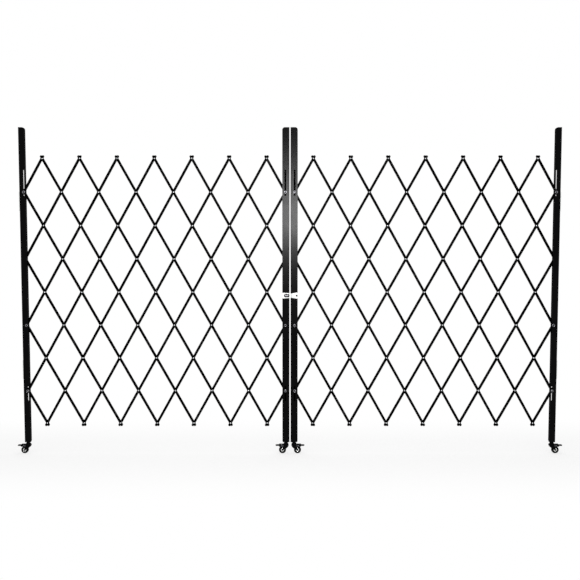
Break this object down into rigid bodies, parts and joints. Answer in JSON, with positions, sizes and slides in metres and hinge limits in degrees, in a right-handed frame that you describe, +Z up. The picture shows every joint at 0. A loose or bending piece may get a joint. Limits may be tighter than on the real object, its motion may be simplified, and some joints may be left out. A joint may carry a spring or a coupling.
{
  "type": "folding security gate",
  "caption": "Folding scissor security gate that parts in the middle: black riveted lattice hung from wall posts, lead posts on braked swivel casters, slotted hasp for a padlock.",
  "frame": {"origin": "on the floor under the middle of the closed gate, in the plane where the two layers of bars meet", "axes": "+X along the gate to the right seen from the front, +Y to the back, +Z up"},
  "size_m": [3.0862, 0.0312, 1.8288],
  "materials": {
    "lattice_coat": "satin black powder coat on pressed steel channel",
    "post_coat": "satin black powder coat on pressed steel channel",
    "caster_steel": "black coated pressed steel",
    "caster_tyre": "matt black tread on a grey hub",
    "hasp_zinc": "bright zinc plate"
  },
  "bodies": {
    "root": {"left_wall_post": "post_coat", "right_wall_post": "post_coat"},
    "left_front_bar_01": {"left_front_bar_01": "lattice_coat"},
    "left_front_bar_02": {"left_front_bar_02": "lattice_coat"},
    "left_front_bar_03": {"left_front_bar_03": "lattice_coat"},
    "left_front_bar_04": {"left_front_bar_04": "lattice_coat"},
    "left_front_bar_05": {"left_front_bar_05": "lattice_coat"},
    "left_front_bar_06": {"left_front_bar_06": "lattice_coat"},
    "left_front_bar_07": {"left_front_bar_07": "lattice_coat"},
    "left_front_bar_08": {"left_front_bar_08": "lattice_coat"},
    "left_front_bar_09": {"left_front_bar_09": "lattice_coat"},
    "left_front_bar_10": {"left_front_bar_10": "lattice_coat"},
    "left_front_bar_11": {"left_front_bar_11": "lattice_coat"},
    "left_rear_bar_01": {"left_rear_bar_01": "lattice_coat"},
    "left_rear_bar_02": {"left_rear_bar_02": "lattice_coat"},
    "left_rear_bar_03": {"left_rear_bar_03": "lattice_coat"},
    "left_rear_bar_04": {"left_rear_bar_04": "lattice_coat"},
    "left_rear_bar_05": {"left_rear_bar_05": "lattice_coat"},
    "left_rear_bar_06": {"left_rear_bar_06": "lattice_coat"},
    "left_rear_bar_07": {"left_rear_bar_07": "lattice_coat"},
    "left_rear_bar_08": {"left_rear_bar_08": "lattice_coat"},
    "left_rear_bar_09": {"left_rear_bar_09": "lattice_coat"},
    "left_rear_bar_10": {"left_rear_bar_10": "lattice_coat"},
    "left_rear_bar_11": {"left_rear_bar_11": "lattice_coat"},
    "left_lead_post": {"left_lead_post": "post_coat"},
    "left_wall_caster_fork": {"left_wall_caster_fork": "caster_steel"},
    "left_wall_caster_wheel": {"left_wall_caster_wheel": "caster_tyre"},
    "left_lead_caster_fork": {"left_lead_caster_fork": "caster_steel"},
    "left_lead_caster_wheel": {"left_lead_caster_wheel": "caster_tyre"},
    "left_lead_brake_pedal": {"left_lead_brake_pedal": "caster_steel"},
    "right_front_bar_01": {"right_front_bar_01": "lattice_coat"},
    "right_front_bar_02": {"right_front_bar_02": "lattice_coat"},
    "right_front_bar_03": {"right_front_bar_03": "lattice_coat"},
    "right_front_bar_04": {"right_front_bar_04": "lattice_coat"},
    "right_front_bar_05": {"right_front_bar_05": "lattice_coat"},
    "right_front_bar_06": {"right_front_bar_06": "lattice_coat"},
    "right_front_bar_07": {"right_front_bar_07": "lattice_coat"},
    "right_front_bar_08": {"right_front_bar_08": "lattice_coat"},
    "right_front_bar_09": {"right_front_bar_09": "lattice_coat"},
    "right_front_bar_10": {"right_front_bar_10": "lattice_coat"},
    "right_front_bar_11": {"right_front_bar_11": "lattice_coat"},
    "right_rear_bar_01": {"right_rear_bar_01": "lattice_coat"},
    "right_rear_bar_02": {"right_rear_bar_02": "lattice_coat"},
    "right_rear_bar_03": {"right_rear_bar_03": "lattice_coat"},
    "right_rear_bar_04": {"right_rear_bar_04": "lattice_coat"},
    "right_rear_bar_05": {"right_rear_bar_05": "lattice_coat"},
    "right_rear_bar_06": {"right_rear_bar_06": "lattice_coat"},
    "right_rear_bar_07": {"right_rear_bar_07": "lattice_coat"},
    "right_rear_bar_08": {"right_rear_bar_08": "lattice_coat"},
    "right_rear_bar_09": {"right_rear_bar_09": "lattice_coat"},
    "right_rear_bar_10": {"right_rear_bar_10": "lattice_coat"},
    "right_rear_bar_11": {"right_rear_bar_11": "lattice_coat"},
    "right_lead_post": {"right_lead_post": "post_coat", "hasp_leaf": "hasp_zinc"},
    "right_wall_caster_fork": {"right_wall_caster_fork": "caster_steel"},
    "right_wall_caster_wheel": {"right_wall_caster_wheel": "caster_tyre"},
    "right_lead_caster_fork": {"right_lead_caster_fork": "caster_steel"},
    "right_lead_caster_wheel": {"right_lead_caster_wheel": "caster_tyre"},
    "right_lead_brake_pedal": {"right_lead_brake_pedal": "caster_steel"},
    "hasp_strap": {"hasp_strap": "hasp_zinc"}
  },
  "joints": [
    {"name": "left_fold", "type": "hinge", "parent": "root", "child": "left_front_bar_03", "pos_m": [-1.47807, 0, 0.72947], "axis": [0, -1, 0], "range_deg": [0, 27.07]},
    {"name": "left_rear_bar_07_pivot", "type": "hinge", "parent": "left_front_bar_03", "child": "left_rear_bar_07", "pos_m": [-0.95947, 0, 1.65853], "axis": [0, -1, 0], "range_deg": [-54.15, 0]},
    {"name": "left_rear_bar_06_pivot", "type": "hinge", "parent": "left_front_bar_03", "child": "left_rear_bar_06", "pos_m": [-1.06319, 0, 1.47272], "axis": [0, -1, 0], "range_deg": [-54.15, 0]},
    {"name": "left_rear_bar_05_pivot", "type": "hinge", "parent": "left_front_bar_03", "child": "left_rear_bar_05", "pos_m": [-1.16691, 0, 1.28691], "axis": [0, -1, 0], "range_deg": [-54.15, 0]},
    {"name": "left_rear_bar_04_pivot", "type": "hinge", "parent": "left_front_bar_03", "child": "left_rear_bar_04", "pos_m": [-1.27063, 0, 1.10109], "axis": [0, -1, 0], "range_deg": [-54.15, 0]},
    {"name": "left_rear_bar_03_pivot", "type": "hinge", "parent": "left_front_bar_03", "child": "left_rear_bar_03", "pos_m": [-1.37435, 0, 0.91528], "axis": [0, -1, 0], "range_deg": [-54.15, 0]},
    {"name": "left_rear_bar_02_pivot", "type": "hinge", "parent": "left_front_bar_03", "child": "left_rear_bar_02", "pos_m": [-1.47807, 0, 0.72947], "axis": [0, -1, 0], "range_deg": [-54.15, 0]},
    {"name": "left_front_bar_04_pivot", "type": "hinge", "parent": "left_rear_bar_07", "child": "left_front_bar_04", "pos_m": [-0.85575, 0, 1.47272], "axis": [0, -1, 0], "range_deg": [0, 54.15]},
    {"name": "left_front_bar_05_pivot", "type": "hinge", "parent": "left_rear_bar_07", "child": "left_front_bar_05", "pos_m": [-0.75204, 0, 1.28691], "axis": [0, -1, 0], "range_deg": [0, 54.15]},
    {"name": "left_front_bar_06_pivot", "type": "hinge", "parent": "left_rear_bar_07", "child": "left_front_bar_06", "pos_m": [-0.64832, 0, 1.10109], "axis": [0, -1, 0], "range_deg": [0, 54.15]},
    {"name": "left_front_bar_07_pivot", "type": "hinge", "parent": "left_rear_bar_07", "child": "left_front_bar_07", "pos_m": [-0.5446, 0, 0.91528], "axis": [0, -1, 0], "range_deg": [0, 54.15]},
    {"name": "left_front_bar_08_pivot", "type": "hinge", "parent": "left_rear_bar_07", "child": "left_front_bar_08", "pos_m": [-0.44088, 0, 0.72947], "axis": [0, -1, 0], "range_deg": [0, 54.15]},
    {"name": "left_front_bar_09_pivot", "type": "hinge", "parent": "left_rear_bar_07", "child": "left_front_bar_09", "pos_m": [-0.33716, 0, 0.54366], "axis": [0, -1, 0], "range_deg": [0, 54.15]},
    {"name": "left_front_bar_10_pivot", "type": "hinge", "parent": "left_rear_bar_07", "child": "left_front_bar_10", "pos_m": [-0.23344, 0, 0.35785], "axis": [0, -1, 0], "range_deg": [0, 54.15]},
    {"name": "left_front_bar_11_pivot", "type": "hinge", "parent": "left_rear_bar_07", "child": "left_front_bar_11", "pos_m": [-0.12972, 0, 0.17203], "axis": [0, -1, 0], "range_deg": [0, 54.15]},
    {"name": "left_front_bar_01_pivot", "type": "hinge", "parent": "left_rear_bar_05", "child": "left_front_bar_01", "pos_m": [-1.37435, 0, 1.65853], "axis": [0, -1, 0], "range_deg": [0, 54.15]},
    {"name": "left_front_bar_02_pivot", "type": "hinge", "parent": "left_rear_bar_05", "child": "left_front_bar_02", "pos_m": [-1.27063, 0, 1.47272], "axis": [0, -1, 0], "range_deg": [0, 54.15]},
    {"name": "left_rear_bar_08_pivot", "type": "hinge", "parent": "left_front_bar_04", "child": "left_rear_bar_08", "pos_m": [-0.75204, 0, 1.65853], "axis": [0, -1, 0], "range_deg": [-54.15, 0]},
    {"name": "left_rear_bar_09_pivot", "type": "hinge", "parent": "left_front_bar_05", "child": "left_rear_bar_09", "pos_m": [-0.5446, 0, 1.65853], "axis": [0, -1, 0], "range_deg": [-54.15, 0]},
    {"name": "left_rear_bar_10_pivot", "type": "hinge", "parent": "left_front_bar_06", "child": "left_rear_bar_10", "pos_m": [-0.33716, 0, 1.65853], "axis": [0, -1, 0], "range_deg": [-54.15, 0]},
    {"name": "left_rear_bar_11_pivot", "type": "hinge", "parent": "left_front_bar_07", "child": "left_rear_bar_11", "pos_m": [-0.12972, 0, 1.65853], "axis": [0, -1, 0], "range_deg": [-54.15, 0]},
    {"name": "left_rear_bar_01_pivot", "type": "hinge", "parent": "left_front_bar_04", "child": "left_rear_bar_01", "pos_m": [-1.47807, 0, 0.35785], "axis": [0, -1, 0], "range_deg": [-54.15, 0]},
    {"name": "left_lead_post_pivot", "type": "hinge", "parent": "left_rear_bar_09", "child": "left_lead_post", "pos_m": [-0.026, 0, 0.72947], "axis": [0, -1, 0], "range_deg": [0, 27.08]},
    {"name": "left_wall_caster_swivel", "type": "hinge", "parent": "root", "child": "left_wall_caster_fork", "pos_m": [-1.48457, 0, 0.0645], "axis": [0, 0, 1], "continuous": true},
    {"name": "left_wall_caster_roll", "type": "hinge", "parent": "left_wall_caster_fork", "child": "left_wall_caster_wheel", "pos_m": [-1.50407, 0, 0.02], "axis": [0, 1, 0], "continuous": true},
    {"name": "left_lead_caster_swivel", "type": "hinge", "parent": "left_lead_post", "child": "left_lead_caster_fork", "pos_m": [-0.023, 0, 0.0645], "axis": [0, 0, 1], "range_deg": [-90, 90]},
    {"name": "left_lead_caster_roll", "type": "hinge", "parent": "left_lead_caster_fork", "child": "left_lead_caster_wheel", "pos_m": [-0.0425, 0, 0.02], "axis": [0, 1, 0], "continuous": true},
    {"name": "left_lead_brake", "type": "hinge", "parent": "left_lead_caster_fork", "child": "left_lead_brake_pedal", "pos_m": [-0.047, 0, 0.0454], "axis": [0, -1, 0], "range_deg": [0, 20]},
    {"name": "right_fold", "type": "hinge", "parent": "root", "child": "right_front_bar_03", "pos_m": [1.47807, 0, 0.72947], "axis": [0, 1, 0], "range_deg": [0, 27.07]},
    {"name": "right_rear_bar_07_pivot", "type": "hinge", "parent": "right_front_bar_03", "child": "right_rear_bar_07", "pos_m": [0.95947, 0, 1.65853], "axis": [0, 1, 0], "range_deg": [-54.15, 0]},
    {"name": "right_rear_bar_06_pivot", "type": "hinge", "parent": "right_front_bar_03", "child": "right_rear_bar_06", "pos_m": [1.06319, 0, 1.47272], "axis": [0, 1, 0], "range_deg": [-54.15, 0]},
    {"name": "right_rear_bar_05_pivot", "type": "hinge", "parent": "right_front_bar_03", "child": "right_rear_bar_05", "pos_m": [1.16691, 0, 1.28691], "axis": [0, 1, 0], "range_deg": [-54.15, 0]},
    {"name": "right_rear_bar_04_pivot", "type": "hinge", "parent": "right_front_bar_03", "child": "right_rear_bar_04", "pos_m": [1.27063, 0, 1.10109], "axis": [0, 1, 0], "range_deg": [-54.15, 0]},
    {"name": "right_rear_bar_03_pivot", "type": "hinge", "parent": "right_front_bar_03", "child": "right_rear_bar_03", "pos_m": [1.37435, 0, 0.91528], "axis": [0, 1, 0], "range_deg": [-54.15, 0]},
    {"name": "right_rear_bar_02_pivot", "type": "hinge", "parent": "right_front_bar_03", "child": "right_rear_bar_02", "pos_m": [1.47807, 0, 0.72947], "axis": [0, 1, 0], "range_deg": [-54.15, 0]},
    {"name": "right_front_bar_04_pivot", "type": "hinge", "parent": "right_rear_bar_07", "child": "right_front_bar_04", "pos_m": [0.85575, 0, 1.47272], "axis": [0, 1, 0], "range_deg": [0, 54.15]},
    {"name": "right_front_bar_05_pivot", "type": "hinge", "parent": "right_rear_bar_07", "child": "right_front_bar_05", "pos_m": [0.75204, 0, 1.28691], "axis": [0, 1, 0], "range_deg": [0, 54.15]},
    {"name": "right_front_bar_06_pivot", "type": "hinge", "parent": "right_rear_bar_07", "child": "right_front_bar_06", "pos_m": [0.64832, 0, 1.10109], "axis": [0, 1, 0], "range_deg": [0, 54.15]},
    {"name": "right_front_bar_07_pivot", "type": "hinge", "parent": "right_rear_bar_07", "child": "right_front_bar_07", "pos_m": [0.5446, 0, 0.91528], "axis": [0, 1, 0], "range_deg": [0, 54.15]},
    {"name": "right_front_bar_08_pivot", "type": "hinge", "parent": "right_rear_bar_07", "child": "right_front_bar_08", "pos_m": [0.44088, 0, 0.72947], "axis": [0, 1, 0], "range_deg": [0, 54.15]},
    {"name": "right_front_bar_09_pivot", "type": "hinge", "parent": "right_rear_bar_07", "child": "right_front_bar_09", "pos_m": [0.33716, 0, 0.54366], "axis": [0, 1, 0], "range_deg": [0, 54.15]},
    {"name": "right_front_bar_10_pivot", "type": "hinge", "parent": "right_rear_bar_07", "child": "right_front_bar_10", "pos_m": [0.23344, 0, 0.35785], "axis": [0, 1, 0], "range_deg": [0, 54.15]},
    {"name": "right_front_bar_11_pivot", "type": "hinge", "parent": "right_rear_bar_07", "child": "right_front_bar_11", "pos_m": [0.12972, 0, 0.17203], "axis": [0, 1, 0], "range_deg": [0, 54.15]},
    {"name": "right_front_bar_01_pivot", "type": "hinge", "parent": "right_rear_bar_05", "child": "right_front_bar_01", "pos_m": [1.37435, 0, 1.65853], "axis": [0, 1, 0], "range_deg": [0, 54.15]},
    {"name": "right_front_bar_02_pivot", "type": "hinge", "parent": "right_rear_bar_05", "child": "right_front_bar_02", "pos_m": [1.27063, 0, 1.47272], "axis": [0, 1, 0], "range_deg": [0, 54.15]},
    {"name": "right_rear_bar_08_pivot", "type": "hinge", "parent": "right_front_bar_04", "child": "right_rear_bar_08", "pos_m": [0.75204, 0, 1.65853], "axis": [0, 1, 0], "range_deg": [-54.15, 0]},
    {"name": "right_rear_bar_09_pivot", "type": "hinge", "parent": "right_front_bar_05", "child": "right_rear_bar_09", "pos_m": [0.5446, 0, 1.65853], "axis": [0, 1, 0], "range_deg": [-54.15, 0]},
    {"name": "right_rear_bar_10_pivot", "type": "hinge", "parent": "right_front_bar_06", "child": "right_rear_bar_10", "pos_m": [0.33716, 0, 1.65853], "axis": [0, 1, 0], "range_deg": [-54.15, 0]},
    {"name": "right_rear_bar_11_pivot", "type": "hinge", "parent": "right_front_bar_07", "child": "right_rear_bar_11", "pos_m": [0.12972, 0, 1.65853], "axis": [0, 1, 0], "range_deg": [-54.15, 0]},
    {"name": "right_rear_bar_01_pivot", "type": "hinge", "parent": "right_front_bar_04", "child": "right_rear_bar_01", "pos_m": [1.47807, 0, 0.35785], "axis": [0, 1, 0], "range_deg": [-54.15, 0]},
    {"name": "right_lead_post_pivot", "type": "hinge", "parent": "right_rear_bar_09", "child": "right_lead_post", "pos_m": [0.026, 0, 0.72947], "axis": [0, 1, 0], "range_deg": [0, 27.08]},
    {"name": "right_wall_caster_swivel", "type": "hinge", "parent": "root", "child": "right_wall_caster_fork", "pos_m": [1.48457, 0, 0.0645], "axis": [0, 0, 1], "continuous": true},
    {"name": "right_wall_caster_roll", "type": "hinge", "parent": "right_wall_caster_fork", "child": "right_wall_caster_wheel", "pos_m": [1.50407, 0, 0.02], "axis": [0, 1, 0], "continuous": true},
    {"name": "right_lead_caster_swivel", "type": "hinge", "parent": "right_lead_post", "child": "right_lead_caster_fork", "pos_m": [0.023, 0, 0.0645], "axis": [0, 0, 1], "range_deg": [-90, 90]},
    {"name": "right_lead_caster_roll", "type": "hinge", "parent": "right_lead_caster_fork", "child": "right_lead_caster_wheel", "pos_m": [0.0425, 0, 0.02], "axis": [0, 1, 0], "continuous": true},
    {"name": "right_lead_brake", "type": "hinge", "parent": "right_lead_caster_fork", "child": "right_lead_brake_pedal", "pos_m": [0.047, 0, 0.0454], "axis": [0, 1, 0], "range_deg": [0, 20]},
    {"name": "hasp_swing", "type": "hinge", "parent": "right_lead_post", "child": "hasp_strap", "pos_m": [0.0084, -0.0133, 0.89687], "axis": [0, 0, 1], "range_deg": [0, 168]}
  ],
  "couplings": [
    {"joint": "left_rear_bar_07_pivot", "follows": "left_fold", "ratio": -2},
    {"joint": "left_rear_bar_06_pivot", "follows": "left_fold", "ratio": -2},
    {"joint": "left_rear_bar_05_pivot", "follows": "left_fold", "ratio": -2},
    {"joint": "left_rear_bar_04_pivot", "follows": "left_fold", "ratio": -2},
    {"joint": "left_rear_bar_03_pivot", "follows": "left_fold", "ratio": -2},
    {"joint": "left_rear_bar_02_pivot", "follows": "left_fold", "ratio": -2},
    {"joint": "left_front_bar_04_pivot", "follows": "left_fold", "ratio": 2},
    {"joint": "left_front_bar_05_pivot", "follows": "left_fold", "ratio": 2},
    {"joint": "left_front_bar_06_pivot", "follows": "left_fold", "ratio": 2},
    {"joint": "left_front_bar_07_pivot", "follows": "left_fold", "ratio": 2},
    {"joint": "left_front_bar_08_pivot", "follows": "left_fold", "ratio": 2},
    {"joint": "left_front_bar_09_pivot", "follows": "left_fold", "ratio": 2},
    {"joint": "left_front_bar_10_pivot", "follows": "left_fold", "ratio": 2},
    {"joint": "left_front_bar_11_pivot", "follows": "left_fold", "ratio": 2},
    {"joint": "left_front_bar_01_pivot", "follows": "left_fold", "ratio": 2},
    {"joint": "left_front_bar_02_pivot", "follows": "left_fold", "ratio": 2},
    {"joint": "left_rear_bar_08_pivot", "follows": "left_fold", "ratio": -2},
    {"joint": "left_rear_bar_09_pivot", "follows": "left_fold", "ratio": -2},
    {"joint": "left_rear_bar_10_pivot", "follows": "left_fold", "ratio": -2},
    {"joint": "left_rear_bar_11_pivot", "follows": "left_fold", "ratio": -2},
    {"joint": "left_rear_bar_01_pivot", "follows": "left_fold", "ratio": -2},
    {"joint": "left_lead_post_pivot", "follows": "left_fold", "ratio": 1},
    {"joint": "right_rear_bar_07_pivot", "follows": "right_fold", "ratio": -2},
    {"joint": "right_rear_bar_06_pivot", "follows": "right_fold", "ratio": -2},
    {"joint": "right_rear_bar_05_pivot", "follows": "right_fold", "ratio": -2},
    {"joint": "right_rear_bar_04_pivot", "follows": "right_fold", "ratio": -2},
    {"joint": "right_rear_bar_03_pivot", "follows": "right_fold", "ratio": -2},
    {"joint": "right_rear_bar_02_pivot", "follows": "right_fold", "ratio": -2},
    {"joint": "right_front_bar_04_pivot", "follows": "right_fold", "ratio": 2},
    {"joint": "right_front_bar_05_pivot", "follows": "right_fold", "ratio": 2},
    {"joint": "right_front_bar_06_pivot", "follows": "right_fold", "ratio": 2},
    {"joint": "right_front_bar_07_pivot", "follows": "right_fold", "ratio": 2},
    {"joint": "right_front_bar_08_pivot", "follows": "right_fold", "ratio": 2},
    {"joint": "right_front_bar_09_pivot", "follows": "right_fold", "ratio": 2},
    {"joint": "right_front_bar_10_pivot", "follows": "right_fold", "ratio": 2},
    {"joint": "right_front_bar_11_pivot", "follows": "right_fold", "ratio": 2},
    {"joint": "right_front_bar_01_pivot", "follows": "right_fold", "ratio": 2},
    {"joint": "right_front_bar_02_pivot", "follows": "right_fold", "ratio": 2},
    {"joint": "right_rear_bar_08_pivot", "follows": "right_fold", "ratio": -2},
    {"joint": "right_rear_bar_09_pivot", "follows": "right_fold", "ratio": -2},
    {"joint": "right_rear_bar_10_pivot", "follows": "right_fold", "ratio": -2},
    {"joint": "right_rear_bar_11_pivot", "follows": "right_fold", "ratio": -2},
    {"joint": "right_rear_bar_01_pivot", "follows": "right_fold", "ratio": -2},
    {"joint": "right_lead_post_pivot", "follows": "right_fold", "ratio": 1}
  ]
}
